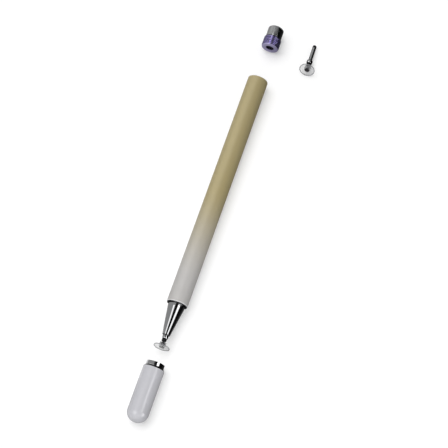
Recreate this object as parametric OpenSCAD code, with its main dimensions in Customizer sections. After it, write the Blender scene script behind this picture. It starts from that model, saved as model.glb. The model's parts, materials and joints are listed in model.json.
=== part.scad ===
// Capacitive stylus pen, laid out flat: barrel with its disc tip, the cap drawn off
// in front, the tail plug drawn off behind, and a spare tip lying beside the tail.
// Millimetres. The pen's axis is Y with the tail towards +Y, and Z is up.
// The origin is on the axis, halfway along the barrel.

/* [Barrel] */
// Outside diameter of the barrel
barrel_d = 9; // [8:0.1:12]
// Length of the painted tube
barrel_len = 108.4; // [90:0.1:130]
// Wall beside the sockets at both ends
socket_wall = 0.55; // [0.45:0.05:0.8]
// Wall along the plain bore between the sockets
bore_wall = 0.85; // [0.8:0.05:1.3]
// Rounding of the tail's outer edge
tail_round = 0.4; // [0.1:0.05:0.4]
// Bevel of the tube's other edges
edge_break = 0.12; // [0.05:0.01:0.15]

/* [Front ring] */
// Thickness of the dark plated flange in front of the tube
ring_flange = 0.4; // [0.4:0.1:1.2]
// How far the flange's rim stays below the barrel's surface
ring_step = 0.2; // [0.1:0.05:0.25]
// Wall of the ring's sleeve inside the tube
ring_wall = 0.2; // [0.15:0.05:0.25]
// Length of the ring's sleeve inside the tube
ring_sleeve = 1.2; // [0.8:0.1:1.3]
// Depth of the conical seat at the ring's mouth
seat_depth = 0.15; // [0.05:0.05:0.2]

/* [Nose] */
// Length of the nose from the tube's front edge to its end
nose_len = 13.9; // [11:0.1:18]
// Length of the nose's straight root in front of the ring
root_len = 1; // [0.5:0.1:2]
// Diameter at the nose's end
nose_end_d = 3.3; // [3:0.1:4]
// Depth of the ring-shaped socket round the nose's root
socket_depth = 1.5; // [1.45:0.05:2]
// Diameter of the nose's tenon inside the barrel
tenon_d = 4.8; // [4.4:0.1:5.4]
// Length of the pressed base ring that holds the nose in the tube
base_len = 5; // [3:0.5:9]
// Thickness of the ring magnets
magnet_t = 2; // [1:0.1:2.4]
// Outside diameter of the bush that grips the stem
bush_d = 3.2; // [2.8:0.1:3.6]
// Length of that bush
bush_len = 3.5; // [2:0.5:5]
// Distance of the bush's front face from the nose's end
bush_at = 5.9; // [5:0.1:7]

/* [Tip] */
// Diameter of the chromed stem
stem_d = 1.7; // [1.4:0.05:2]
// Length of the stem from its rear end to the collar's front face
stem_len = 10.05; // [9:0.1:12]
// Diameter of the collar
collar_d = 2.6; // [2.2:0.05:2.8]
// Length of the collar
collar_len = 1.5; // [1:0.1:2]
// Rounding of the collar's edges
collar_round = 0.35; // [0.1:0.05:0.4]
// Length of the rubber grip on the stem's rear end
grip_len = 1.2; // [0.9:0.1:2]
// Diameter of the pins at the stem's two ends
pin_d = 0.9; // [0.7:0.05:1]
// Diameter of the black stud below the collar
stud_d = 2; // [1.6:0.05:2.1]
// Distance from the collar's front face to the ball's centre
ball_at = 2.35; // [2.2:0.05:3]
// Diameter of the ball
ball_d = 1.7; // [1.5:0.05:1.8]
// Diameter of the neck above the ball
neck_d = 0.8; // [0.6:0.05:0.8]
// Outside diameter of the hub round the ball
hub_d = 2.75; // [2.6:0.05:3.2]
// Height of the hub's mouth above the ball's centre
hub_mouth = 0.55; // [0.5:0.01:0.6]
// Distance from the ball's centre to the disc's back
disc_at = 1.3; // [1:0.05:1.4]
// Thickness of the clear disc
disc_t = 0.35; // [0.25:0.05:0.5]
// Rounding of the disc's rim
disc_round = 0.1; // [0.05:0.01:0.12]
// Diameter of the dark contact pad in the disc
pad_d = 2.2; // [1.8:0.1:3]
// Thickness of the contact pad
pad_t = 0.15; // [0.1:0.05:0.2]
// How far the disc of the fitted tip tips up as the pen lies
rest_tilt = 7; // [0:1:7]

/* [Cap] */
// Length of the cap's shell
cap_len = 23; // [22:0.1:30]
// Wall of the cap's shell
cap_wall = 0.55; // [0.4:0.05:0.6]
// Depth of the rounded end
dome_len = 4.3; // [2:0.1:4.5]
// Length of the steel collar inside the shell
collar_in = 2.5; // [1.5:0.1:4]
// Length of the collar's spigot in front of its flare
spigot_len = 1.6; // [1:0.1:1.6]
// Wall of the spigot
spigot_wall = 0.2; // [0.15:0.05:0.25]
// Length of the flare between the shell and the spigot
flare_len = 0.85; // [0.6:0.05:1]
// Height of the flare's straight rim
flare_rim = 0.1; // [0.05:0.05:0.2]
// How far the flare's rim stays below the shell's surface
flare_step = 0.1; // [0.05:0.05:0.2]

/* [Tail plug] */
// Length of the violet sleeve
sleeve_len = 4.9; // [4:0.1:7]
// Length of the chromed stub behind the sleeve
stub_len = 5.25; // [4:0.05:7]
// Bevel of the stub's end
stub_bevel = 0.5; // [0.2:0.1:0.8]
// Diameter of the bore that keeps the spare tip
keep_d = 3.7; // [3.2:0.1:4.2]
// Depth of that bore
keep_depth = 9.3; // [8.6:0.1:9.6]
// Thickness of the sleeve's front wall
sleeve_front = 1.2; // [0.8:0.1:2]
// Wall of the stub's tenon inside the sleeve
plug_tenon_wall = 0.65; // [0.5:0.05:0.8]
// Number of grip ribs on the sleeve
rib_n = 5; // [3:1:7]
// Depth of the grooves between the ribs
rib_depth = 0.15; // [0.05:0.01:0.2]
// Thickness of the plug's ring magnet
plug_magnet_t = 1.5; // [1:0.1:2]
// Length of the rubber grip in the bore
keep_grip = 5; // [3:0.5:7]
// How far the sleeve's rear face sits below the tail's edge
tail_recess = 2.1; // [2.1:0.1:3]

/* [Layout] */
// How far the cap is drawn off from its seat
cap_off = 27.8; // [24:0.1:60]
// How far the plug is drawn off from its seat
plug_off = 23.8; // [10:0.1:60]
// Sideways distance of the spare tip's ball from the axis
spare_x = 18.8; // [12:0.1:40]
// Distance of the spare tip's ball behind the tail's edge
spare_y = 13.8; // [-60:0.1:40]
// Turn of the spare tip about the vertical
spare_turn = 1.5; // [-45:0.5:45]
// How far the spare tip's disc faces up
spare_face = 20; // [14:1:26]

/* [Fits] */
// Radial gap of glued and pressed pieces
glue_gap = 0.02; // [0.01:0.01:0.03]
// Radial gap of pieces that turn or slide in a bore
run_gap = 0.05; // [0.02:0.01:0.08]
// Radial gap between the cap's spigot and the sockets
spigot_gap = 0.1; // [0.05:0.01:0.15]
// Radial gap between the spigot's bore and the nose's root
root_gap = 0.125; // [0.05:0.005:0.15]
// Radial gap between the spigot's bore and the disc
disc_gap = 0.2; // [0.2:0.01:0.4]
// Gap left at seats that meet along the axis
seat_gap = 0.03; // [0.01:0.01:0.05]

/* [Hidden] */

round_n = 96;
small_n = 48;

// Radii from the outside in: tube, sockets, spigot, its bore, the nose's root and the disc
barrel_r = barrel_d / 2;
socket_r = barrel_r - socket_wall;
bore_r = barrel_r - bore_wall;
spigot_r = socket_r - spigot_gap;
collar_bore_r = spigot_r - spigot_wall;
root_r = collar_bore_r - root_gap;
disc_r = collar_bore_r - disc_gap;

// Places along the axis
front_y = -barrel_len / 2;
tail_y = barrel_len / 2;
floor_z = -barrel_r;
nose_end_y = front_y - nose_len;
tip_y = nose_end_y - collar_len - ball_at;

// The ring's sleeve sits in a counterbore of the tube
ring_r = barrel_r - ring_step;
ring_sleeve_r = socket_r + ring_wall;

// The magnet and the base ring share the front socket behind the nose's root
magnet_at = socket_depth;
base_at = magnet_at + magnet_t + glue_gap;
front_depth = base_at + base_len;
tenon_r = tenon_d / 2;

// Bores that the tip's stem runs in
stem_r = stem_d / 2;
stem_bore_r = stem_r + run_gap;
pin_r = pin_d / 2;
ball_r = ball_d / 2;
neck_r = neck_d / 2;
hub_cavity_r = ball_r + run_gap;
hub_mouth_r = sqrt(hub_cavity_r * hub_cavity_r - hub_mouth * hub_mouth);
hub_pin_r = 0.6;

// Lengths of the pins at the stem's front and rear ends
stem_pin = 1;
grip_pin = grip_len / 2;

// The stud starts above the hub's mouth, with room for the hub to tip
stud_foot = hub_mouth + 0.3;
stud_shoulder = stud_foot + 0.3;

// Flare of the cap's collar, and where it meets the ring's seat
flare_r = barrel_r - flare_step;
flare_slope = (flare_r - spigot_r) / (flare_len - flare_rim);
cap_stand = flare_len - (socket_r - spigot_r) / flare_slope - seat_depth + seat_gap;
cap_bore_r = barrel_r - cap_wall;
cap_seat_y = front_y - ring_flange - cap_stand;
cap_y = cap_seat_y - cap_off;

// The plug's face when seated and as laid out
tail_depth = tail_recess + sleeve_len + seat_gap;
plug_r = socket_r - glue_gap;
keep_r = keep_d / 2;
plug_tenon_r = keep_r + plug_tenon_wall;
plug_magnet_r = plug_r - rib_depth - 0.3;
plug_magnet_at = sleeve_len - plug_magnet_t;
plug_y = tail_y - tail_recess - sleeve_len + plug_off;
rib_pitch = (sleeve_len - 2 * edge_break) / rib_n;

// The spare tip leans on its disc's rim and on the rear end of its stem
spare_ball_z = disc_r * cos(spare_face) - disc_at * sin(spare_face);
spare_reach = stem_len + ball_at;
spare_rise = asin(spare_ball_z / norm([spare_reach, stem_r])) - atan(stem_r / spare_reach);

// Points of an arc with centre [r, s], from angle a to angle b
function arc(r, s, radius, a, b, n = 6) =
    [for (i = [0:n]) let (t = a + (b - a) * i / n) [r + radius * cos(t), s + radius * sin(t)]];

// Outline of a rounded end: a quarter ellipse from the side at s to the axis
function dome(r, depth, s, n = 18) =
    [for (i = [0:n]) let (t = 90 * i / n) [i == n ? 0 : r * cos(t), s - depth * sin(t)]];

// A turned solid: each point is [radius, distance along the axis]
module turned(points, n = round_n) rotate_extrude($fn = n) polygon(points);

// Puts a turned solid on the pen's axis, its distances running towards the tail
module on_axis(y) translate([0, y, 0]) rotate([-90, 0, 0]) children();

// Puts a tip, drawn about its ball's centre, where the spare one lies
module as_spare()
    translate([spare_x, tail_y + spare_y, floor_z + spare_ball_z])
        rotate([-spare_rise, 0, spare_turn]) rotate([-90, 0, 0]) children();

// Barrel
module barrel_tube() color([0.70, 0.65, 0.50]) on_axis(0) difference() {
    turned(concat(
        [[bore_r / 2, front_y], [barrel_r - edge_break, front_y], [barrel_r, front_y + edge_break]],
        arc(barrel_r - tail_round, tail_y - tail_round, tail_round, 0, 90),
        [[bore_r / 2, tail_y]]
    ));
    translate([0, 0, front_y - 1]) cylinder(r = bore_r, h = barrel_len + 2, $fn = round_n);
    translate([0, 0, front_y - 1]) cylinder(r = socket_r, h = front_depth + 1, $fn = round_n);
    translate([0, 0, front_y - 1])
        cylinder(r = ring_sleeve_r + glue_gap, h = ring_sleeve + glue_gap + 1, $fn = round_n);
    translate([0, 0, tail_y - tail_depth]) cylinder(r = socket_r, h = tail_depth + 1, $fn = round_n);
}

module front_ring() color([0.16, 0.16, 0.17]) on_axis(front_y) turned([
    [socket_r, ring_sleeve],
    [socket_r, -ring_flange + seat_depth],
    [socket_r + seat_depth * flare_slope, -ring_flange],
    [ring_r - edge_break / 2, -ring_flange],
    [ring_r, -ring_flange + edge_break / 2],
    [ring_r, 0],
    [ring_sleeve_r, 0],
    [ring_sleeve_r, ring_sleeve]
]);

// Nose
module nose_cone() color([0.78, 0.78, 0.80]) on_axis(front_y) difference() {
    turned([
        [stem_r / 2, front_depth],
        [stem_r / 2, -nose_len],
        [nose_end_d / 2 - edge_break / 2, -nose_len],
        [nose_end_d / 2, -nose_len + edge_break],
        [root_r, -ring_flange - root_len],
        [root_r, socket_depth],
        [tenon_r, socket_depth],
        [tenon_r, front_depth]
    ]);
    translate([0, 0, -nose_len - 1]) cylinder(r = stem_bore_r, h = nose_len + 2, $fn = small_n);
    translate([0, 0, -nose_len + bush_at])
        cylinder(r = bush_d / 2, h = nose_len + front_depth, $fn = small_n);
}

module nose_base() color([0.80, 0.68, 0.36]) on_axis(front_y + base_at) difference() {
    cylinder(r = socket_r - glue_gap, h = base_len, $fn = round_n);
    translate([0, 0, -1]) cylinder(r = tenon_r + glue_gap, h = base_len + 2, $fn = round_n);
}

module front_magnet() color([0.35, 0.35, 0.37]) on_axis(front_y + magnet_at) difference() {
    cylinder(r = socket_r - glue_gap, h = magnet_t, $fn = round_n);
    translate([0, 0, -1]) cylinder(r = tenon_r + glue_gap, h = magnet_t + 2, $fn = round_n);
}

module tip_bush() color([0.80, 0.68, 0.36]) on_axis(nose_end_y + bush_at) difference() {
    cylinder(r = bush_d / 2 - glue_gap, h = bush_len, $fn = small_n);
    translate([0, 0, -1]) cylinder(r = stem_bore_r, h = bush_len + 2, $fn = small_n);
}

// Tip, drawn about its ball's centre with the stem towards +Z and the disc towards -Z
module grip_sleeve() color([0.06, 0.06, 0.07]) translate([0, 0, ball_at + stem_len - grip_len])
    difference() {
        turned([
            [0, 0], [stem_r, 0], [stem_r, grip_len - 2 * edge_break],
            [stem_r - edge_break, grip_len], [0, grip_len]
        ], small_n);
        translate([0, 0, -1]) cylinder(r = pin_r + run_gap, h = grip_pin + seat_gap + 1, $fn = small_n);
    }

module stem() color([0.78, 0.78, 0.80]) translate([0, 0, ball_at]) difference() {
    union() {
        cylinder(r = stem_r, h = stem_len - grip_len - seat_gap, $fn = small_n);
        cylinder(r = pin_r, h = stem_len - grip_len + grip_pin, $fn = small_n);
    }
    translate([0, 0, -1]) cylinder(r = pin_r + glue_gap, h = stem_pin + 1, $fn = small_n);
}

module collar() color([0.78, 0.78, 0.80]) translate([0, 0, ball_at]) difference() {
    turned(concat(
        arc(collar_d / 2 - collar_round, collar_round, collar_round, -90, 0, 4),
        arc(collar_d / 2 - collar_round, collar_len - collar_round, collar_round, 0, 90, 4),
        [[stem_r / 2, collar_len], [stem_r / 2, 0]]
    ), small_n);
    translate([0, 0, -1]) cylinder(r = stem_r + glue_gap, h = collar_len + 2, $fn = small_n);
}

module ball_stud() color([0.05, 0.05, 0.06]) {
    sphere(r = ball_r, $fn = small_n);
    cylinder(r = neck_r, h = stud_shoulder, $fn = small_n);
    turned([
        [0, stud_foot], [neck_r, stud_foot], [stud_d / 2, stud_shoulder],
        [stud_d / 2, ball_at], [0, ball_at]
    ], small_n);
    cylinder(r = pin_r, h = ball_at + stem_pin - seat_gap, $fn = small_n);
}

module hub(tilt) color([0.55, 0.55, 0.57]) rotate([-tilt, 0, 0]) difference() {
    union() {
        translate([0, 0, -disc_at]) cylinder(r = hub_d / 2, h = disc_at + hub_mouth, $fn = small_n);
        translate([0, 0, -disc_at - disc_t + pad_t]) cylinder(r = hub_pin_r, h = disc_t, $fn = small_n);
    }
    sphere(r = hub_cavity_r, $fn = small_n);
    translate([0, 0, hub_mouth / 2])
        cylinder(r1 = hub_mouth_r / 2, r2 = hub_mouth_r * 1.5, h = hub_mouth, $fn = small_n);
}

module disc(tilt) color([0.85, 0.87, 0.88, 0.6]) rotate([-tilt, 0, 0])
    translate([0, 0, -disc_at - disc_t]) difference() {
        turned(concat(
            [[0, 0]],
            arc(disc_r - disc_round, disc_round, disc_round, -90, 0, 4),
            arc(disc_r - disc_round, disc_t - disc_round, disc_round, 0, 90, 4),
            [[0, disc_t]]
        ));
        translate([0, 0, -1]) cylinder(r = hub_pin_r + glue_gap, h = disc_t + 2, $fn = small_n);
        translate([0, 0, -1]) cylinder(r = pad_d / 2 + glue_gap, h = pad_t + 1, $fn = small_n);
    }

module contact_pad(tilt) color([0.10, 0.10, 0.11]) rotate([-tilt, 0, 0])
    translate([0, 0, -disc_at - disc_t]) cylinder(r = pad_d / 2, h = pad_t, $fn = small_n);

module tip_sleeve() on_axis(tip_y) grip_sleeve();
module tip_stem() on_axis(tip_y) stem();
module tip_collar() on_axis(tip_y) collar();
module tip_ball() on_axis(tip_y) ball_stud();
module tip_hub() on_axis(tip_y) hub(rest_tilt);
module tip_disc() on_axis(tip_y) disc(rest_tilt);
module tip_contact() on_axis(tip_y) contact_pad(rest_tilt);

module spare_sleeve() as_spare() grip_sleeve();
module spare_stem() as_spare() stem();
module spare_collar() as_spare() collar();
module spare_ball() as_spare() ball_stud();
module spare_hub() as_spare() hub(spare_face - spare_rise);
module spare_disc() as_spare() disc(spare_face - spare_rise);
module spare_contact() as_spare() contact_pad(spare_face - spare_rise);

// Cap, drawn with its shell's mouth at 0 and its rounded end towards -Z
module cap_shell() color([0.78, 0.78, 0.80]) on_axis(cap_y) turned(concat(
    [[cap_bore_r, 0], [barrel_r - edge_break, 0], [barrel_r, -edge_break]],
    dome(barrel_r, dome_len, dome_len - cap_len),
    [for (i = [18:-1:0]) dome(cap_bore_r, dome_len - cap_wall, dome_len - cap_len)[i]]
));

module cap_collar() color([0.75, 0.75, 0.77]) on_axis(cap_y) turned([
    [collar_bore_r, -collar_in],
    [cap_bore_r - glue_gap, -collar_in],
    [cap_bore_r - glue_gap, 0],
    [flare_r, 0],
    [flare_r, flare_rim],
    [spigot_r, flare_len],
    [spigot_r, flare_len + spigot_len - edge_break / 2],
    [spigot_r - edge_break / 2, flare_len + spigot_len],
    [collar_bore_r, flare_len + spigot_len]
]);

// Tail plug, drawn with its bored face at 0 and its stub towards +Z
module plug_stub() color([0.78, 0.78, 0.80]) on_axis(plug_y) difference() {
    union() {
        translate([0, 0, sleeve_front + glue_gap])
            cylinder(r = plug_tenon_r, h = sleeve_len, $fn = round_n);
        translate([0, 0, sleeve_len]) turned([
            [0, 0], [root_r, 0], [root_r, stub_len - stub_bevel],
            [root_r - stub_bevel, stub_len], [0, stub_len]
        ]);
    }
    translate([0, 0, -1]) cylinder(r = keep_r, h = keep_depth + 1, $fn = small_n);
}

module plug_sleeve() color([0.45, 0.38, 0.70]) on_axis(plug_y) difference() {
    turned(concat(
        [[keep_r / 2, 0], [plug_r - 2 * edge_break, 0]],
        [for (i = [0:rib_n - 1]) for (p = [
            [-rib_depth, 0.02], [0, 0.3], [0, 0.7], [-rib_depth, 0.98]
        ]) [plug_r + p[0], edge_break + (i + p[1]) * rib_pitch]],
        [[plug_r - 2 * edge_break, sleeve_len], [keep_r / 2, sleeve_len]]
    ));
    translate([0, 0, -1]) cylinder(r = keep_r, h = sleeve_len, $fn = small_n);
    translate([0, 0, sleeve_front]) cylinder(r = plug_tenon_r + glue_gap, h = sleeve_len, $fn = round_n);
    translate([0, 0, plug_magnet_at])
        cylinder(r = plug_magnet_r + glue_gap, h = sleeve_len, $fn = round_n);
}

module plug_magnet() color([0.35, 0.35, 0.37]) on_axis(plug_y + plug_magnet_at) difference() {
    cylinder(r = plug_magnet_r, h = plug_magnet_t, $fn = round_n);
    translate([0, 0, -1]) cylinder(r = plug_tenon_r + glue_gap, h = plug_magnet_t + 2, $fn = round_n);
}

module plug_grip() color([0.06, 0.06, 0.07]) on_axis(plug_y + sleeve_front) difference() {
    cylinder(r = keep_r - glue_gap, h = keep_grip, $fn = small_n);
    translate([0, 0, -1]) cylinder(r = stem_r + glue_gap, h = keep_grip + 2, $fn = small_n);
}

barrel_tube();
front_ring();
nose_cone();
nose_base();
front_magnet();
tip_bush();
tip_sleeve();
tip_stem();
tip_collar();
tip_ball();
tip_hub();
tip_disc();
tip_contact();
spare_sleeve();
spare_stem();
spare_collar();
spare_ball();
spare_hub();
spare_disc();
spare_contact();
cap_shell();
cap_collar();
plug_stub();
plug_sleeve();
plug_magnet();
plug_grip();
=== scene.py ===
import json
import math

import bpy
import numpy as np
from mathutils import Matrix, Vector


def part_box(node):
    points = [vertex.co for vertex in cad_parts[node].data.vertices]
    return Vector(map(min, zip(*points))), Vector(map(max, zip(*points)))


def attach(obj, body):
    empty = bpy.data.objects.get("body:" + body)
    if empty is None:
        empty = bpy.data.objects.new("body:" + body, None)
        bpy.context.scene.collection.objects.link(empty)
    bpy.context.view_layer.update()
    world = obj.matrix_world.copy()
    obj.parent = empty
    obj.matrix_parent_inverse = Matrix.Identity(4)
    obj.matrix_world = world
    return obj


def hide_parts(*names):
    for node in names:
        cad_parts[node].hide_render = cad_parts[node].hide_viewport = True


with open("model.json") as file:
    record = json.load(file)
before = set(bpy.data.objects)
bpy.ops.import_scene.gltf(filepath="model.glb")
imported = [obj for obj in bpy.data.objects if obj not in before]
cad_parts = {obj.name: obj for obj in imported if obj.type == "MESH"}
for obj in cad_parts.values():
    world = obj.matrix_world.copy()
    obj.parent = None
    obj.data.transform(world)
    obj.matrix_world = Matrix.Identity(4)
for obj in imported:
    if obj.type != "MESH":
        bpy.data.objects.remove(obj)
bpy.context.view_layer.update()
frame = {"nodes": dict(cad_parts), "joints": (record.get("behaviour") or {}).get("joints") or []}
mm = 0.001
print("frame loaded with", len(frame["nodes"]), "nodes")


# Places, read from the frame in millimetres

def nodeBox(node):
    low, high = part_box(node)
    return np.array(low) / mm, np.array(high) / mm


def jointNamed(name):
    return next(j for j in frame["joints"] if j["name"] == name)


# A seat is where a turned piece lies: its own zero, its axis, and the two directions square to it.
# The first of them points as far up as it can.
def seatAt(origin, along):
    along = np.array(along, float) / np.linalg.norm(along)
    up = np.array([0.0, 0.0, 1.0]) - along[2] * along
    up /= np.linalg.norm(up)
    return dict(origin=np.array(origin, float), along=along, up=up, side=np.cross(along, up))


# The stem of the spare tip is square to its tilt axis, and to the level line across it.
def spareStemDirection():
    tiltAxis = np.array(jointNamed("spare_tilt")["axis"], float)
    across = np.cross(tiltAxis, [0.0, 0.0, 1.0])
    return np.cross(tiltAxis, across / np.linalg.norm(across))


# A direction tipped up by an angle in degrees, in its own upright plane
def tippedUp(direction, degrees):
    level = np.array([direction[0], direction[1], 0.0])
    level /= np.linalg.norm(level)
    turn = math.radians(degrees)
    return math.cos(turn) * level + math.sin(turn) * np.array([0.0, 0.0, 1.0])


tubeLow, tubeHigh = nodeBox("barrel_tube")
frontY, tailY, barrelRadius, floorZ = tubeLow[1], tubeHigh[1], tubeHigh[0], tubeLow[2]
capMouthY = nodeBox("cap_shell")[1][1]
plugFaceY = nodeBox("plug_sleeve")[0][1]
tipBall = np.array(jointNamed("tip_tilt")["pos_m"]) / mm
spareBall = np.array(jointNamed("spare_tilt")["pos_m"]) / mm

tailward = (0, 1, 0)
barrelSeat = seatAt((0, 0, 0), tailward)
frontSeat = seatAt((0, frontY, 0), tailward)
capSeat = seatAt((0, capMouthY, 0), tailward)
plugSeat = seatAt((0, plugFaceY, 0), tailward)


# Turned pieces

# How far most of their edges are broken: crisp machined ones, and ones eased by polishing
crispEdge, easedEdge = 0.03, 0.05


# Rounded outline as an array of (along, radius). A corner (along, radius, cut) becomes the parabola
# (1 - t)^2 a + 2 t (1 - t) corner + t^2 b, where a and b lie cut away from it towards its neighbours, and
# at most 0.45 of the way to them. An array of points is kept as it is.
def outline(*parts, steps=6):
    ends = [np.atleast_2d(np.asarray(p, float))[[0, -1], :2] for p in parts]
    t = np.linspace(0, 1, steps + 1)[:, None]
    runs = []
    for i, part in enumerate(parts):
        if np.ndim(part) == 2:
            runs.append(np.asarray(part, float))
            continue
        corner, cut = np.array(part[:2], float), part[2]
        if cut == 0:
            runs.append(corner[None])
            continue
        toLast, toNext = ends[i - 1][1] - corner, ends[(i + 1) % len(parts)][0] - corner
        a, b = (corner + v * min(cut / np.linalg.norm(v), 0.45) for v in (toLast, toNext))
        runs.append((1 - t) ** 2 * a + 2 * t * (1 - t) * corner + t ** 2 * b)
    return np.concatenate(runs)


# Points of an ellipse about (centre, 0): along = centre + depth cos t, radius = radius sin t, with t in
# degrees from start to end. Near a pole it stops a few degrees short, and the pole is a point of its own.
def ellipse(centre, depth, radius, start, end, steps=32):
    t = np.radians(np.linspace(start, end, steps + 1))
    return np.stack([centre + depth * np.cos(t), radius * np.sin(t)], 1)


# Turns an outline round a seat's axis. With profile point (s, r) and angle a, the surface is
# origin + s along + r (cos a up + sin a side). An outline that starts and ends on the axis is closed
# there by two poles, and any other is a loop. Normals come from the outline's central differences.
def turned(name, profile, seat, turns=144):
    s, r = profile.T
    nextS, nextR = np.roll(s, -1), np.roll(r, -1)
    if np.sum(s * nextR - nextS * r) < 0:
        profile = profile[::-1]
        s, r = profile.T
    hasPoles = r[0] == 0 and r[-1] == 0
    tangent = np.roll(profile, -1, 0) - np.roll(profile, 1, 0)
    if hasPoles:
        tangent[0], tangent[-1] = (0, 1), (0, -1)
    normal = np.stack([tangent[:, 1], -tangent[:, 0]], 1)
    normal /= np.linalg.norm(normal, axis=1)[:, None]
    rings = slice(1, -1) if hasPoles else slice(None)
    a = np.linspace(0, 2 * np.pi, turns, endpoint=False)[None, :]
    ringS, ringR = s[rings, None] + 0 * a, r[rings, None] + 0 * a
    own = np.stack([ringR * np.cos(a), ringR * np.sin(a), ringS], 2).reshape(-1, 3)
    facing = np.stack([normal[rings, 1, None] * np.cos(a), normal[rings, 1, None] * np.sin(a),
                       normal[rings, 0, None] + 0 * a], 2).reshape(-1, 3)
    count = ringS.shape[0]
    lines = np.arange(count - 1 if hasPoles else count)[:, None]
    columns = np.arange(turns)[None, :]
    nextLines, nextColumns = (lines + 1) % count, (columns + 1) % turns
    faces = np.stack([lines * turns + columns, nextLines * turns + columns,
                      nextLines * turns + nextColumns, lines * turns + nextColumns], 2)
    faces = faces.reshape(-1, 4).tolist()
    if hasPoles:
        first, last = len(own), len(own) + 1
        own = np.concatenate([own, [[0, 0, s[0]], [0, 0, s[-1]]]])
        facing = np.concatenate([facing, [[0, 0, normal[0, 0]], [0, 0, normal[-1, 0]]]])
        start, around, final = columns[0], nextColumns[0], (count - 1) * turns
        faces += np.stack([0 * start + first, start, around], 1).tolist()
        faces += np.stack([final + start, 0 * start + last, final + around], 1).tolist()
    axes = np.stack([seat["up"], seat["side"], seat["along"]])
    return surfacePiece(name, seat["origin"] + own @ axes, faces, own, facing @ axes)


# Makes the mesh. Each vertex keeps its place in the piece's own seat, in millimetres, for its material.
def surfacePiece(name, points, faces, own, normals=None):
    mesh = bpy.data.meshes.new(name)
    mesh.from_pydata((points * mm).tolist(), [], faces)
    places = mesh.attributes.new("own", "FLOAT_VECTOR", "POINT")
    places.data.foreach_set("vector", own.astype(np.float32).ravel())
    mesh.polygons.foreach_set("use_smooth", np.ones(len(mesh.polygons), bool))
    if normals is not None:
        mesh.normals_split_custom_set_from_vertices(normals.tolist())
    mesh.validate()
    piece = bpy.data.objects.new(name, mesh)
    bpy.context.scene.collection.objects.link(piece)
    return piece


# Puts a finished piece in the place of its CAD node, and says how well their boxes agree.
def standsFor(piece, node, body, material):
    piece.data.materials.append(material)
    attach(piece, body)
    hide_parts(node)
    points = np.zeros(len(piece.data.vertices) * 3, np.float32)
    piece.data.vertices.foreach_get("co", points)
    points = points.reshape(-1, 3) / mm
    low, high = nodeBox(node)
    off = max(np.abs(points.min(0) - low).max(), np.abs(points.max(0) - high).max())
    print(f"{piece.name}: {len(piece.data.polygons)} faces, box within {off:.3f} mm of {node}")


# Shader maths

# One socket of a node tree. Arithmetic on it adds Math nodes.
class Wire:
    def __init__(self, nodes, socket):
        self.nodes, self.socket = nodes, socket

    def maths(self, operation, *values):
        return self.nodes.node("ShaderNodeMath", dict(operation=operation), dict(enumerate(values)))

    def __add__(self, other):
        return self.maths("ADD", self, other)

    def __radd__(self, other):
        return self.maths("ADD", other, self)

    def __sub__(self, other):
        return self.maths("SUBTRACT", self, other)

    def __rsub__(self, other):
        return self.maths("SUBTRACT", other, self)

    def __mul__(self, other):
        return self.maths("MULTIPLY", self, other)

    def __rmul__(self, other):
        return self.maths("MULTIPLY", other, self)

    def __truediv__(self, other):
        return self.maths("DIVIDE", self, other)

    def __pow__(self, other):
        return self.maths("POWER", self, other)

    def atLeast(self, other):
        return self.maths("MAXIMUM", self, other)

    def sine(self):
        return self.maths("SINE", self)

    def angleTo(self, other):
        return self.maths("ARCTAN2", self, other) * (180 / math.pi)

    def rise(self, low, high):
        return self.nodes.node("ShaderNodeMapRange", dict(interpolation_type="SMOOTHSTEP"),
                               {"Value": self, "From Min": low, "From Max": high})

    def within(self, low, high, soft):
        return self.rise(low - soft, low + soft) * (1 - self.rise(high - soft, high + soft))


class Nodes:
    def __init__(self, tree):
        self.tree = tree
        tree.nodes.clear()

    def node(self, kind, settings=None, inputs=None, output=0):
        made = self.tree.nodes.new(kind)
        for key, value in (settings or {}).items():
            setattr(made, key, value)
        for key, value in (inputs or {}).items():
            if isinstance(value, Wire):
                self.tree.links.new(value.socket, made.inputs[key])
            else:
                made.inputs[key].default_value = value
        return Wire(self, made.outputs[output])

    def split(self, vector):
        return [self.node("ShaderNodeSeparateXYZ", None, {"Vector": vector}, output=i) for i in range(3)]

    def mixed(self, share, first, second):
        first, second = (tint if isinstance(tint, Wire) else (*tint, 1.0) for tint in (first, second))
        return self.node("ShaderNodeMix", dict(data_type="RGBA"), {0: share, 6: first, 7: second}, output=2)

    def noise(self, vector, scale, detail=2.0, roughness=0.5):
        return self.node("ShaderNodeTexNoise", None,
                         {"Vector": vector, "Scale": scale, "Detail": detail, "Roughness": roughness})

    def stretched(self, vector, x, y, z):
        return self.node("ShaderNodeMapping", None, {"Vector": vector, "Scale": (x, y, z)})


# A material on a piece's own coordinates, in millimetres: x and y across the axis, z along it
class Finish(Nodes):
    def __init__(self, name):
        self.material = bpy.data.materials.new(name)
        self.material.use_nodes = True
        super().__init__(self.material.node_tree)
        self.spot = self.node("ShaderNodeAttribute", dict(attribute_name="own"), output="Vector")
        self.x, self.y, self.z = self.split(self.spot)
        self.reach = (self.x * self.x + self.y * self.y) ** 0.5

    # Fine rings left by turning: noise that changes only along the axis and outwards
    def latheRings(self, perMm):
        line = self.node("ShaderNodeCombineXYZ", None, {"X": self.reach, "Y": 0.0, "Z": self.z})
        return self.noise(line, perMm, detail=1.0)

    def bump(self, height, micrometres):
        return self.node("ShaderNodeBump", None,
                         {"Strength": 1.0, "Distance": micrometres * 1e-6, "Height": height})

    def coated(self, sockets):
        return self.showing(self.node("ShaderNodeBsdfPrincipled", None, sockets))

    def showing(self, shader):
        out = self.tree.nodes.new("ShaderNodeOutputMaterial")
        self.tree.links.new(shader.socket, out.inputs["Surface"])
        return self.material


def srgb(*levels):
    return tuple(((v / 255 + 0.055) / 1.055) ** 2.4 if v > 10 else v / 255 / 12.92 for v in levels)


# Finishes. Lengths are in millimetres, heights of bumps in micrometres.

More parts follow.
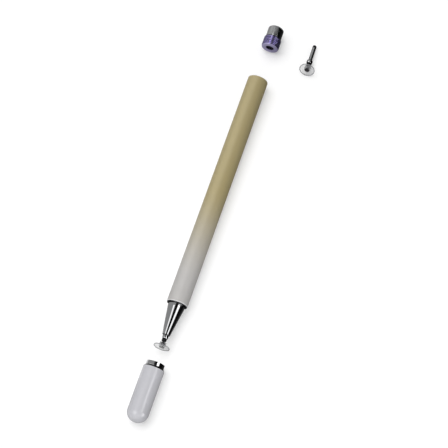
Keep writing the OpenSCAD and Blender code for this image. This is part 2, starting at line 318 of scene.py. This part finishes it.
# Satin lacquer with a faint orange peel, over bare turned metal on the inside. The two are told apart by
# (reach / radius) squared plus, in a dome, (way into the dome / its depth) squared, which is 1 outside.
def lacquer(name, colour, inside, roughness=0.4, domeFrom=None, domeDepth=1.0):
    paint = Finish(name)
    mottle = paint.noise(paint.spot, 0.35, detail=4.0)
    grain = paint.noise(paint.spot, 9.0, detail=3.0, roughness=0.7)
    colour = colour(paint, grain) if callable(colour) else colour
    dusty = paint.mixed((mottle - 0.5) * 0.12 + (grain - 0.5) * 0.12 + 0.05, colour, srgb(112, 110, 106))
    shell = (paint.reach / barrelRadius) ** 2.0
    if domeFrom is not None:
        shell = shell + (((domeFrom - paint.z) / domeDepth).atLeast(0.0)) ** 2.0
    bare = 1 - shell.rise(inside - 0.03, inside + 0.03)
    rings = paint.latheRings(14.0)
    return paint.coated({
        "Base Color": paint.mixed(bare, dusty, srgb(196, 197, 200)),
        "Metallic": bare,
        "Roughness": roughness + (grain - 0.5) * 0.12 + bare * (rings * 0.2 - 0.15),
        "Specular IOR Level": 0.45,
        "Normal": paint.bump(paint.noise(paint.spot, 2.2, detail=2.0) + grain * 0.25 + bare * rings, 1.6)})


# The last two numbers set the width and strength of the pale band painted on the front edge as a highlight.
khaki = dict(tint=srgb(159, 146, 104), pale=srgb(178, 176, 174), fadeFrom=-45.45, fadeTo=-0.45, spray=7.0,
             highlightEdge=0.4, paleShare=0.8)


# The two colours are sprayed into each other, so the fade has the grain of fine droplets. A pale band is
# painted round the front edge as a painted highlight, where its bevel catches the light.
def khakiFade(paint, grain):
    place = paint.z + (grain - 0.5) * khaki["spray"]
    fade = paint.mixed(place.rise(khaki["fadeFrom"], khaki["fadeTo"]), khaki["pale"], khaki["tint"])
    # Painted highlight: a pale band round the front edge
    ragged = paint.z + (grain - 0.5) * 0.2
    marked = 1 - ragged.rise(frontY + khaki["highlightEdge"] / 2, frontY + khaki["highlightEdge"])
    return paint.mixed(marked * khaki["paleShare"], fade, srgb(226, 226, 227))


# Polished plating with hairlines, lathe rings and a few dull patches. A seam is the place along the axis, as
# (middle, half its width, how dark), where it meets another piece; there it is duller, and painted dark as
# painted shade of the gap.
def plating(name, colour, roughness=0.05, shadedSeam=None):
    metal = Finish(name)
    turning = metal.latheRings(9.0)
    hairlines = metal.noise(metal.stretched(metal.spot, 3.0, 3.0, 0.25), 5.0, detail=3.0, roughness=0.7)
    smudge = metal.noise(metal.spot, 0.5, detail=4.0).rise(0.52, 0.75)
    marked = metal.mixed(smudge * 0.35, colour, tuple(0.86 * c for c in colour))
    dullness = roughness + smudge * 0.07 + hairlines * 0.02
    if shadedSeam:
        middle, half, depth = shadedSeam
        # Painted shade: a dark band where the piece meets another
        seamShade = metal.z.within(middle - half, middle + half, 0.06) * depth
        marked = metal.mixed(seamShade, marked, srgb(24, 24, 25))
        dullness = dullness + seamShade * 0.2
    return metal.coated({
        "Base Color": marked,
        "Metallic": 1.0,
        "Roughness": dullness,
        "Normal": metal.bump(turning * 0.5 + hairlines * 0.35, 0.35)})


def turnedBrass():
    metal = Finish("turnedBrass")
    rings, tarnish = metal.latheRings(12.0), metal.noise(metal.spot, 0.8, detail=4.0)
    return metal.coated({
        "Base Color": metal.mixed(tarnish.rise(0.45, 0.75), srgb(214, 180, 106), srgb(160, 122, 66)),
        "Metallic": 1.0,
        "Roughness": 0.2 + tarnish * 0.18,
        "Normal": metal.bump(rings, 1.5)})


def nickelledMagnet():
    metal = Finish("nickelledMagnet")
    pits = metal.noise(metal.spot, 7.0, detail=4.0, roughness=0.7)
    return metal.coated({
        "Base Color": metal.mixed(pits, srgb(118, 119, 124), srgb(168, 168, 170)),
        "Metallic": 1.0,
        "Roughness": 0.3 + pits * 0.2,
        "Normal": metal.bump(pits, 3.0)})


def mouldedRubber():
    rubber = Finish("mouldedRubber")
    grain, dust = rubber.noise(rubber.spot, 11.0, detail=4.0), rubber.noise(rubber.spot, 2.0, detail=5.0)
    return rubber.coated({
        "Base Color": rubber.mixed(dust.rise(0.6, 0.9) * 0.3, srgb(12, 12, 13), srgb(60, 59, 58)),
        "Roughness": 0.62 + grain * 0.2,
        "Specular IOR Level": 0.2,
        "Normal": rubber.bump(grain, 6.0)})


def blackNylon():
    nylon = Finish("blackNylon")
    flow = nylon.noise(nylon.stretched(nylon.spot, 1.0, 1.0, 3.0), 2.5, detail=3.0)
    return nylon.coated({
        "Base Color": nylon.mixed(flow, srgb(5, 5, 6), srgb(12, 12, 13)),
        "Roughness": 0.34 + flow * 0.12,
        "Specular IOR Level": 0.18,
        "Normal": nylon.bump(flow, 1.5)})


hubPlastic = dict(smoke=srgb(72, 72, 75), paleSmoke=srgb(92, 92, 94), foot=srgb(150, 150, 153),
                  footFrom=-0.6, footTo=-1.1, alpha=0.46, footAlpha=0.26)


# Smoky plastic of the hub: dense round the ball, clearer in its foot and on the wall of the ball's cavity
def smokyPlastic():
    plastic = Finish("smokyPlastic")
    foot = 1 - plastic.z.rise(hubPlastic["footTo"], hubPlastic["footFrom"])
    skin = plastic.reach.rise(tip["cavityRadius"], tip["hubRadius"] - 0.15) * 0.75 + 0.25
    swirl = plastic.noise(plastic.spot, 1.6, detail=3.0)
    smoke = plastic.mixed(swirl, hubPlastic["smoke"], hubPlastic["paleSmoke"])
    return plastic.coated({
        "Base Color": plastic.mixed(foot, smoke, hubPlastic["foot"]),
        "Roughness": 0.16 + swirl * 0.1,
        "IOR": 1.49,
        "Alpha": (hubPlastic["alpha"] - foot * (hubPlastic["alpha"] - hubPlastic["footAlpha"])) * skin,
        "Normal": plastic.bump(swirl, 2.0)})


disc = dict(radius=3.45, thickness=0.35, back=-1.3, rimRound=0.12, padRadius=1.1, padDepth=0.15,
            holeRadius=0.62, rimBand=0.6, filmAlpha=0.2, rimAlpha=0.66)


# Clear film of the disc: faint moulding rings, and a rim that looks darker because it is seen edge on
def clearFilm():
    film = Finish("clearFilm")
    rim = film.reach.rise(disc["radius"] - disc["rimBand"], disc["radius"] - 0.06)
    rings = (film.reach * 9.0).sine()
    haze = film.noise(film.spot, 0.9, detail=4.0)
    return film.coated({
        "Base Color": film.mixed(rim, srgb(158, 159, 162), srgb(128, 129, 132)),
        "Roughness": 0.1 + haze * 0.08,
        "IOR": 1.49,
        "Alpha": disc["filmAlpha"] + rim * (disc["rimAlpha"] - disc["filmAlpha"]) + (haze - 0.5) * 0.1,
        "Normal": film.bump(rings * 0.2 + haze, 1.2)})


# Conductive pad: a fine square weave in dark grey
def conductivePad():
    pad = Finish("conductivePad")
    threads = (pad.x * 26.0).sine() * (pad.y * 26.0).sine() * 0.5 + 0.5
    return pad.coated({
        "Base Color": pad.mixed(threads, srgb(20, 20, 22), srgb(46, 46, 49)),
        "Roughness": 0.5 + threads * 0.15,
        "Coat Weight": 1.0,
        "Coat Roughness": 0.1,
        "Normal": pad.bump(threads, 8.0)})


# The groove colour is painted shade for the hollows between the ribs.
violet = dict(pale=srgb(120, 108, 170), full=srgb(86, 76, 146), grooveShade=srgb(46, 36, 80),
              marked=srgb(200, 194, 220), paleShare=0.55)


# Violet anodising over turned metal, with painted shade darkening the grooves, and worn pale on the ribs and
# the bored face
def violetAnodising():
    metal = Finish("violetAnodising")
    rings, cloud = metal.latheRings(16.0), metal.noise(metal.spot, 1.3, detail=3.0)
    ribTop, ribFoot = plug["sleeveRadius"], plug["sleeveRadius"] - plug["ribDepth"]
    face = 1 - metal.z.rise(0.1, 0.6)
    # Painted shade: the grooves between the ribs are darkened
    grooveShade = (1 - metal.reach.rise(ribFoot + 0.02, ribTop - 0.02)) * (1 - face)
    wear = (metal.reach.rise(ribTop - 0.06, ribTop) * cloud.rise(0.35, 0.65)).atLeast(face)
    clouded = metal.mixed(cloud.rise(0.3, 0.7), violet["pale"], violet["full"])
    dyedAndShaded = metal.mixed(grooveShade, clouded, violet["grooveShade"])
    return metal.coated({
        "Base Color": metal.mixed(wear * violet["paleShare"], dyedAndShaded, violet["marked"]),
        "Metallic": 0.85 - face * 0.25,
        "Roughness": 0.13 + cloud * 0.06 + face * 0.16,
        "Normal": metal.bump(rings, 1.6)})


# Barrel

tube = dict(wall=0.55, boreWall=0.85, frontSocket=8.52, ringSeat=1.22, ringSeatWall=0.33,
            tailSocket=7.03, tailRound=0.4, frontBevel=0.22)


def tubeOutline():
    socket, bore = barrelRadius - tube["wall"], barrelRadius - tube["boreWall"]
    seat = barrelRadius - tube["ringSeatWall"]
    return outline(
        (frontY, barrelRadius, tube["frontBevel"]), (tailY, barrelRadius, tube["tailRound"]),
        (tailY, socket, 0.06), (tailY - tube["tailSocket"], socket, crispEdge),
        (tailY - tube["tailSocket"], bore, crispEdge), (frontY + tube["frontSocket"], bore, crispEdge),
        (frontY + tube["frontSocket"], socket, crispEdge), (frontY + tube["ringSeat"], socket, crispEdge),
        (frontY + tube["ringSeat"], seat, 0.02), (frontY, seat, crispEdge))


chromeColour = (0.60, 0.605, 0.615)
chrome = plating("chromePlating", chromeColour)
rubber = mouldedRubber()
brass = turnedBrass()
magnet = nickelledMagnet()

standsFor(turned("paintedTube", tubeOutline(), barrelSeat, turns=192), "barrel_tube", "barrel",
          lacquer("khakiLacquer", khakiFade, inside=0.93))

# Dark ring: a sleeve pressed into the tube, with a flange that the cap's flare meets. Its plating is given a
# near-black colour.
ring = dict(flange=0.4, sleeve=1.2, innerRadius=3.95, sleeveRadius=4.15, rimRadius=4.3, seatDepth=0.15,
            seatRadius=4.06, colour=(0.075, 0.075, 0.08), roughness=0.12)


def ringOutline():
    return outline(
        (ring["sleeve"], ring["innerRadius"], crispEdge),
        (ring["seatDepth"] - ring["flange"], ring["innerRadius"], crispEdge),
        (-ring["flange"], ring["seatRadius"], 0.02), (-ring["flange"], ring["rimRadius"], 0.07),
        (0, ring["rimRadius"], 0.04), (0, ring["sleeveRadius"], 0.01),
        (ring["sleeve"], ring["sleeveRadius"], crispEdge))


standsFor(turned("darkRing", ringOutline(), frontSeat, turns=192), "front_ring", "barrel",
          plating("nearBlackPlating", ring["colour"], roughness=ring["roughness"]))

# Nose: straight root, tapered body, and the tenon inside the tube
nose = dict(length=13.9, rootFront=-1.4, rootRadius=3.525, endRadius=1.65, boreRadius=0.9, socketDepth=1.5,
            tenonRadius=2.4, depth=8.52, bushBore=1.6, bushAt=5.9, endRound=0.14, rootRound=0.3)


def noseOutline():
    end = -nose["length"]
    return outline(
        (end, nose["boreRadius"], easedEdge), (end, nose["endRadius"], nose["endRound"]),
        (nose["rootFront"], nose["rootRadius"], nose["rootRound"]),
        (nose["socketDepth"], nose["rootRadius"], easedEdge),
        (nose["socketDepth"], nose["tenonRadius"], easedEdge), (nose["depth"], nose["tenonRadius"], 0.1),
        (nose["depth"], nose["bushBore"], easedEdge), (end + nose["bushAt"], nose["bushBore"], crispEdge),
        (end + nose["bushAt"], nose["boreRadius"], crispEdge))


# The nose's end is painted dark where the tip's collar meets it, as painted shade.
standsFor(turned("chromeNose", noseOutline(), frontSeat, turns=192), "nose_cone", "barrel",
          plating("noseChrome", chromeColour, shadedSeam=(-nose["length"], 0.12, 0.9)))

# Plain rings inside the front of the tube: (start, end, inner radius, outer radius)
innerRings = dict(magnet=(1.5, 3.5, 2.42, 3.93), base=(3.52, 8.52, 2.42, 3.93), bush=(-8.0, -4.5, 0.9, 1.58))


def sleeveOutline(start, end, inner, outer, cut=0.12):
    return outline((start, inner, cut / 2), (start, outer, cut), (end, outer, cut), (end, inner, cut / 2))


standsFor(turned("frontMagnet", sleeveOutline(*innerRings["magnet"]), frontSeat), "front_magnet", "barrel",
          magnet)
standsFor(turned("noseBaseRing", sleeveOutline(*innerRings["base"]), frontSeat), "nose_base", "barrel",
          brass)
standsFor(turned("stemBush", sleeveOutline(*innerRings["bush"], cut=0.08), frontSeat, turns=96), "tip_bush",
          "barrel", brass)
print("barrel done")


# Tips, drawn about the ball's centre, with the stem towards positive numbers

tip = dict(ballRadius=0.85, neckRadius=0.4, studFoot=0.85, studShoulder=1.15, studRadius=1.0, studTop=2.35,
           pinRadius=0.45, pinTop=3.32, pinHole=1.0, collarRadius=1.3, collarLength=1.5, collarRound=0.4,
           stemRadius=0.85, gripFrom=11.2, gripTo=12.4, gripRound=0.28, rearPin=11.8, gripGap=0.03, gap=0.02,
           hubRadius=1.375, hubMouth=0.55, mouthRound=0.14, cavityRadius=0.9, hubPinRadius=0.6,
           hubPinEnd=-1.5)


def studOutline():
    neckAt = math.degrees(math.asin(tip["neckRadius"] / tip["ballRadius"]))
    return outline(
        (-tip["ballRadius"], 0, 0), ellipse(0, tip["ballRadius"], tip["ballRadius"], 176, neckAt + 2),
        (tip["studFoot"], tip["neckRadius"], 0.08), (tip["studShoulder"], tip["studRadius"], 0.12),
        (tip["studTop"], tip["studRadius"], 0.04), (tip["studTop"], tip["pinRadius"], 0.02),
        (tip["pinTop"], tip["pinRadius"], easedEdge), (tip["pinTop"], 0, 0))


def collarOutline():
    start, end = tip["studTop"], tip["studTop"] + tip["collarLength"]
    bore = tip["stemRadius"] + tip["gap"]
    return outline(
        (start, bore, crispEdge), (start, tip["collarRadius"], tip["collarRound"]),
        (end, tip["collarRadius"], tip["collarRound"]), (end, bore, crispEdge), steps=9)


def stemOutline():
    start, hole = tip["studTop"], tip["pinRadius"] + tip["gap"]
    shoulder = tip["gripFrom"] - tip["gripGap"]
    return outline(
        (start + tip["pinHole"], 0, 0), (start + tip["pinHole"], hole, crispEdge), (start, hole, 0.04),
        (start, tip["stemRadius"], easedEdge), (shoulder, tip["stemRadius"], easedEdge),
        (shoulder, tip["pinRadius"], crispEdge), (tip["rearPin"], tip["pinRadius"], 0.08),
        (tip["rearPin"], 0, 0))


def gripOutline():
    hole, floor = tip["pinRadius"] + 0.05, tip["rearPin"] + tip["gripGap"]
    return outline(
        (floor, 0, 0), (floor, hole, 0.04), (tip["gripFrom"], hole, 0.04),
        (tip["gripFrom"], tip["stemRadius"], easedEdge),
        (tip["gripTo"], tip["stemRadius"], tip["gripRound"]), (tip["gripTo"], 0, 0), steps=9)


def hubOutline():
    back, mouth = disc["back"], tip["hubMouth"]
    mouthRadius = math.sqrt(tip["cavityRadius"] ** 2 - mouth ** 2)
    throat = math.degrees(math.asin(mouthRadius / tip["cavityRadius"]))
    return outline(
        (tip["hubPinEnd"], 0, 0), (tip["hubPinEnd"], tip["hubPinRadius"], 0.04),
        (back, tip["hubPinRadius"], crispEdge), (back, tip["hubRadius"], 0.1),
        (mouth, tip["hubRadius"], tip["mouthRound"]), (mouth, mouthRadius + 0.04, crispEdge),
        ellipse(0, tip["cavityRadius"], tip["cavityRadius"], throat + 3, 176), (-tip["cavityRadius"], 0, 0))


def discOutline():
    front, back = disc["back"] - disc["thickness"], disc["back"]
    recess, seat = front + disc["padDepth"], disc["padRadius"] + tip["gap"]
    return outline(
        (back, disc["holeRadius"], 0.02), (back, disc["radius"], disc["rimRound"]),
        (front, disc["radius"], disc["rimRound"]), (front, seat, crispEdge),
        (recess, seat, crispEdge), (recess, disc["holeRadius"], 0.02))


def padOutline():
    front = disc["back"] - disc["thickness"]
    back = front + disc["padDepth"]
    return outline(
        (front, 0, 0), (front, disc["padRadius"], crispEdge),
        (back, disc["padRadius"], crispEdge), (back, 0, 0))


# The collar's end towards the nose is painted dark, as painted shade.
collarChrome = plating("collarChrome", chromeColour, shadedSeam=(tip["studTop"] + tip["collarLength"], 0.3, 0.9))
nylon, smoky = blackNylon(), smokyPlastic()
film, conductive = clearFilm(), conductivePad()


# One tip: its rod pieces lie along the stem, and its foot pieces along the disc's own axis.
def makeTip(prefix, node, rodSeat, footSeat, bodies):
    parts = [
        ("Grip", gripOutline(), rodSeat, "sleeve", bodies[0], "black_rubber", rubber, 64),
        ("Stem", stemOutline(), rodSeat, "stem", bodies[1], "chrome", chrome, 96),
        ("Collar", collarOutline(), rodSeat, "collar", bodies[1], "chrome", collarChrome, 96),
        ("Stud", studOutline(), rodSeat, "ball", bodies[1], "black_nylon", nylon, 96),
        ("Hub", hubOutline(), footSeat, "hub", bodies[2], "grey_hub", smoky, 96),
        ("Disc", discOutline(), footSeat, "disc", bodies[2], "clear_disc", film, 160),
        ("Pad", padOutline(), footSeat, "contact", bodies[2], "contact_pad", conductive, 96)]
    for label, profile, seat, part, body, slotName, material, turns in parts:
        standsFor(turned(prefix + label, profile, seat, turns), f"{node}_{part}", body, material)


# The fitted tip's disc lies tipped up by 7 degrees and the spare one's by 20.
layout = dict(tipTilt=7.0, spareFace=20.0)
spareStem = spareStemDirection()
makeTip("fitted", "tip", seatAt(tipBall, tailward), seatAt(tipBall, -tippedUp((0, -1), layout["tipTilt"])),
        ("tip_grip", "tip_rod", "tip_foot"))
makeTip("spare", "spare", seatAt(spareBall, spareStem),
        seatAt(spareBall, -tippedUp(-spareStem, layout["spareFace"])), ("barrel", "barrel", "spare_foot"))
print("tips done")


# Cap, drawn from its shell's mouth, with the rounded end towards negative numbers

cap = dict(length=23.0, wall=0.55, domeDepth=4.3, mouthRound=0.12, collarIn=2.5, collarBore=3.65,
           flareRadius=4.4, flareRim=0.1, flareLength=0.85, spigotRadius=3.85, spigotLength=1.6,
           paint=srgb(192, 192, 197), paintRoughness=0.13)


def capOutline():
    spring = cap["domeDepth"] - cap["length"]
    inner, innerDepth = barrelRadius - cap["wall"], cap["domeDepth"] - cap["wall"]
    return outline(
        (-cap["length"], 0, 0), ellipse(spring, cap["domeDepth"], barrelRadius, 179, 90, 40),
        (0, barrelRadius, cap["mouthRound"]), (0, inner, crispEdge),
        ellipse(spring, innerDepth, inner, 90, 179, 40), (spring - innerDepth, 0, 0))


def capCollarOutline():
    inner, flare = barrelRadius - cap["wall"] - tip["gap"], cap["flareLength"]
    end = flare + cap["spigotLength"]
    return outline(
        (-cap["collarIn"], cap["collarBore"], crispEdge), (-cap["collarIn"], inner, easedEdge),
        (0, inner, 0.01), (0, cap["flareRadius"], crispEdge), (cap["flareRim"], cap["flareRadius"], 0.04),
        (flare, cap["spigotRadius"], 0.06), (end, cap["spigotRadius"], 0.06), (end, cap["collarBore"], 0.04))


standsFor(turned("capShell", capOutline(), capSeat, turns=192), "cap_shell", "cap",
          lacquer("paleLacquer", cap["paint"], inside=0.9, roughness=cap["paintRoughness"],
                  domeFrom=cap["domeDepth"] - cap["length"], domeDepth=cap["domeDepth"]))
# The cap collar's flare is painted dark where it meets the shell, as painted shade.
standsFor(turned("capCollar", capCollarOutline(), capSeat, turns=192), "cap_collar", "cap",
          plating("capChrome", chromeColour, shadedSeam=(cap["flareLength"] / 2, cap["flareLength"] / 2, 0.75)))
print("cap done")


# Tail plug, drawn from its bored face

plug = dict(sleeveLength=4.9, sleeveRadius=3.93, ribs=5, ribsFrom=0.5, ribsEnd=0.3, ribDepth=0.15,
            grooveShare=0.2, faceRound=0.45, endRound=0.25, front=1.2, keepRadius=1.85, keepDepth=9.3,
            tenonRadius=2.5, stubLength=5.25, stubRadius=3.525, stubBevel=0.5, bevelRound=0.12,
            magnetLength=1.5, magnetRadius=3.48, gripLength=5.0, gripBore=0.87)


# Flat ribs along the sleeve: its radius is the ribs' top less the depth times (1 - h^2 (3 - 2 h)), where h
# goes from 0 in the middle of a groove to 1 at its edge, which is a share of the pitch away
def ribbedSide():
    s = np.linspace(plug["ribsFrom"], plug["sleeveLength"] - plug["ribsEnd"], 30 * plug["ribs"] + 1)
    place = plug["ribs"] * (s - s[0]) / (s[-1] - s[0]) % 1
    h = np.clip(np.minimum(place, 1 - place) / plug["grooveShare"], 0, 1)
    return np.stack([s, plug["sleeveRadius"] - plug["ribDepth"] * (1 - h ** 2 * (3 - 2 * h))], 1)


def plugSleeveOutline():
    length, gap = plug["sleeveLength"], tip["gap"]
    magnetAt = length - plug["magnetLength"]
    ribFoot = plug["sleeveRadius"] - plug["ribDepth"]
    return outline(
        (0, plug["keepRadius"], 0.1), (0, ribFoot, plug["faceRound"]), ribbedSide(),
        (length, ribFoot, plug["endRound"]), (length, plug["magnetRadius"] + gap, crispEdge),
        (magnetAt, plug["magnetRadius"] + gap, crispEdge), (magnetAt, plug["tenonRadius"] + gap, crispEdge),
        (plug["front"], plug["tenonRadius"] + gap, crispEdge), (plug["front"], plug["keepRadius"], crispEdge))


def plugStubOutline():
    start, shoulder = plug["front"] + tip["gap"], plug["sleeveLength"]
    end = shoulder + plug["stubLength"]
    return outline(
        (plug["keepDepth"], 0, 0), (plug["keepDepth"], plug["keepRadius"], easedEdge),
        (start, plug["keepRadius"], 0.04), (start, plug["tenonRadius"], 0.08),
        (shoulder, plug["tenonRadius"], 0.02), (shoulder, plug["stubRadius"], 0.04),
        (end - plug["stubBevel"], plug["stubRadius"], plug["bevelRound"]),
        (end, plug["stubRadius"] - plug["stubBevel"], plug["bevelRound"]), (end, 0, 0))


# (start, end, inner radius, outer radius)
plugMagnet = (plug["sleeveLength"] - plug["magnetLength"], plug["sleeveLength"],
              plug["tenonRadius"] + tip["gap"], plug["magnetRadius"])
plugGrip = (plug["front"], plug["front"] + plug["gripLength"],
            plug["gripBore"], plug["keepRadius"] - tip["gap"])

standsFor(turned("plugSleeve", plugSleeveOutline(), plugSeat, turns=192), "plug_sleeve", "tail_plug",
          violetAnodising())
standsFor(turned("plugStub", plugStubOutline(), plugSeat, turns=192), "plug_stub", "tail_plug",
          chrome)
standsFor(turned("plugMagnet", sleeveOutline(*plugMagnet), plugSeat), "plug_magnet", "tail_plug",
          magnet)
standsFor(turned("plugGrip", sleeveOutline(*plugGrip), plugSeat, turns=96), "plug_grip", "tail_plug",
          rubber)
print("plug done")


# Studio

# Strengths of the lamps, their spreads in degrees, the directions that the suns come from, and the fill
# lamp's places in millimetres
studio = dict(keyStrength=2.28, keySpread=60.0, keyFrom=(-0.31, 0.17, 0.94),
              frontStrength=1.25, frontSpread=40.0, frontFrom=(0.0, -0.99, 0.14),
              fillPower=0.7, fillCone=50.0, fillMetres=0.05, fillFrom=(260.0, -60.0, 150.0),
              fillAt=(0.0, -62.0, 0.0),
              skyFill=0.3, floorTone=0.68, floorGlow=0.31, floorMetres=8.0)


# 1 for camera, glossy and transmission rays, 0 for the rest
def seenRays(nodes):
    rays = [nodes.node("ShaderNodeLightPath", output=name)
            for name in ("Is Camera Ray", "Is Glossy Ray", "Is Transmission Ray")]
    return rays[0].atLeast(rays[1]).atLeast(rays[2])


# Floor: white, and a share of it is glow that only camera, glossy and transmission rays see
def addFloor():
    half = studio["floorMetres"] / mm / 2
    corners = np.array([[-half, -half, floorZ], [half, -half, floorZ],
                        [half, half, floorZ], [-half, half, floorZ]])
    floor = surfacePiece("floor", corners, [[0, 1, 2, 3]], corners)
    paint = Finish("floorPaper")
    diffuse = paint.node("ShaderNodeBsdfDiffuse", None, {"Color": (studio["floorTone"],) * 3 + (1,)})
    glow = paint.node("ShaderNodeEmission", None,
                      {"Color": seenRays(paint) * studio["floorGlow"], "Strength": 1.0})
    floor.data.materials.append(paint.showing(paint.node("ShaderNodeAddShader", None, {0: diffuse, 1: glow})))


# Tent that the shiny pieces reflect, in millimetres, with its numbers of faces around and along
tent = dict(radius=300.0, start=-420.0, end=1500.0, taper=600.0, floorGap=0.3, around=144, along=39)

# Its own faint glow, with the spans of angle and of y over which that changes. Beside the pen the left wall
# glows evenly. Behind the pen the glow falls from the left wall over the top, and dims far away. On the right
# the strip on the floor glows a little, most near the pen.
tentGlow = dict(wall=0.35, wallEnd=(-14, -6), behind=(226, 238), back=0.56, backFall=0.27,
                backSlope=(-80, 10), backEnd=(8, 48), backFoot=0.6, backFootEnd=(-120, -60), dimming=0.9,
                farAway=(430, 480), low=0.19, lowSpan=(92, 175), least=0.004, panelSoft=3.0)

# Panels of light on the tent, named for what reflects them, as (from angle, to angle, soft edge, from y,
# to y, brightness). Angles are in degrees from straight up towards the right, and y in millimetres.
panels = dict(
    barrelWindow=(-84, -4, 8, 48, 198, 2.5),
    frontLeft=(-36, -16, 1.5, -420, -45, 1.2),
    frontRight=(26, 54, 1.5, -420, 24, 1.6),
    sleeveLeft=(-28, -8, 1.5, 206, 229, 3.2),
    sleeveRight=(28, 50, 1.5, 200, 229, 1.8),
    sleeveLow=(92, 150, 4, 150, 230, 0.15),
    domeLeft=(-44, -2, 8, -400, -130, 2.8),
    domeRight=(54, 82, 6, -290, -110, 6.5),
    noseRight=(30, 46, 3, -64, -16, 2.5),
    noseLow=(-180, -100, 6, -45, 66, 0.35),
    tipLow=(-180, -100, 6, -88, -66, 0.6))


# Brightness of the tent by its arch angle and its place y along the pen
def tentLight(cards):
    angle, glow = cards.x.angleTo(cards.z), tentGlow
    behind = cards.y.rise(*glow["behind"])
    wall = (1 - angle.rise(*glow["wallEnd"])) * glow["wall"]
    back = glow["back"] - angle.rise(*glow["backSlope"]) * glow["backFall"]
    back = back * (1 - angle.rise(*glow["backEnd"]))
    back = back * (glow["backFoot"] + angle.rise(*glow["backFootEnd"]) * (1 - glow["backFoot"]))
    back = back * (1 - cards.y.rise(*glow["farAway"]) * glow["dimming"])
    light = wall * (1 - behind) + back * behind + angle.rise(*glow["lowSpan"]) * glow["low"] + glow["least"]
    for start, end, soft, near, far, level in panels.values():
        light = light + angle.within(start, end, soft) * cards.y.within(near, far, glow["panelSoft"]) * level
    return light


# The tent is an arch closed by a flat strip above the floor, and only glossy rays see it. With arch angle a,
# the surface is (R sin a, y, R cos a), with its height kept above the floor. R tapers towards the far end.
def addTent():
    around, along = tent["around"], tent["along"]
    angles = np.radians(np.linspace(-180, 180, around + 1))[:, None]
    places = np.linspace(tent["start"], tent["end"], along + 1)[None, :]
    radius = tent["radius"] * np.clip((tent["end"] - places) / tent["taper"], 0.001, 1)
    x, y = radius * np.sin(angles), places + 0 * angles
    z = np.maximum(radius * np.cos(angles), floorZ + tent["floorGap"])
    points = np.stack([x, y, z], 2).reshape(-1, 3)
    first = np.arange(around)[:, None] * (along + 1) + np.arange(along)[None, :]
    faces = np.stack([first, first + 1, first + along + 2, first + along + 1], 2).reshape(-1, 4).tolist()
    cloth = surfacePiece("reflectionTent", points, faces, points)
    cards = Finish("reflectionCards")
    light = cards.node("ShaderNodeEmission", None, {"Color": tentLight(cards)})
    cloth.data.materials.append(cards.showing(light))
    for kind in ("camera", "diffuse", "transmission", "volume_scatter", "shadow"):
        setattr(cloth, f"visible_{kind}", False)


def addWorld():
    world = bpy.data.worlds.new("studioWorld")
    world.use_nodes = True
    air = Nodes(world.node_tree)
    seen = seenRays(air)
    back = air.node("ShaderNodeBackground", None, {"Color": seen + (1 - seen) * studio["skyFill"]})
    out = air.tree.nodes.new("ShaderNodeOutputWorld")
    air.tree.links.new(back.socket, out.inputs["Surface"])
    bpy.context.scene.world = world


# Wide soft sun, seen only in the light that it gives
def addSoftSun(name, strength, spread, comesFrom, shadow):
    lamp = bpy.data.lights.new(name, "SUN")
    lamp.energy, lamp.angle, lamp.use_shadow = strength, math.radians(spread), shadow
    sun = bpy.data.objects.new(name, lamp)
    sun.rotation_mode = "QUATERNION"
    sun.rotation_quaternion = Vector(comesFrom).to_track_quat("Z", "Y")
    sun.visible_glossy = False
    bpy.context.scene.collection.objects.link(sun)


# Soft lamp on the right, which lifts the right side of the nose end and the cap
def addFillLight():
    lamp = bpy.data.lights.new("fillLight", "SPOT")
    lamp.energy, lamp.spot_size, lamp.spot_blend = studio["fillPower"], math.radians(studio["fillCone"]), 1.0
    lamp.shadow_soft_size, lamp.use_shadow = studio["fillMetres"], False
    fill = bpy.data.objects.new("fillLight", lamp)
    place, target = Vector(studio["fillFrom"]) * mm, Vector(studio["fillAt"]) * mm
    fill.location = place
    fill.rotation_mode = "QUATERNION"
    fill.rotation_quaternion = (place - target).to_track_quat("Z", "Y")
    fill.visible_glossy = False
    bpy.context.scene.collection.objects.link(fill)


# Camera of the photograph: 0.53 m from its target and 70 degrees up, with the pen turned 18.5 degrees from
# the way that it faces. Places are in millimetres.
view = dict(place=(64.61, -186.15, 497.05), target=(6.66, -13.04, -4.5), lens=100.45, sensor=36.0,
            nearMetres=0.01, farMetres=50.0)


def addCamera():
    data = bpy.data.cameras.new("photoCamera")
    data.lens, data.sensor_width = view["lens"], view["sensor"]
    data.clip_start, data.clip_end = view["nearMetres"], view["farMetres"]
    camera = bpy.data.objects.new("photoCamera", data)
    place, target = Vector(view["place"]) * mm, Vector(view["target"]) * mm
    camera.location = place
    camera.rotation_mode = "QUATERNION"
    camera.rotation_quaternion = (target - place).to_track_quat("-Z", "Y")
    bpy.context.scene.collection.objects.link(camera)
    bpy.context.scene.camera = camera


addFloor()
addTent()
addWorld()
addSoftSun("keyLight", studio["keyStrength"], studio["keySpread"], studio["keyFrom"], True)
addSoftSun("frontLight", studio["frontStrength"], studio["frontSpread"], studio["frontFrom"], False)
addFillLight()
addCamera()
bpy.context.scene.view_settings.view_transform = "Standard"
print("studio done")
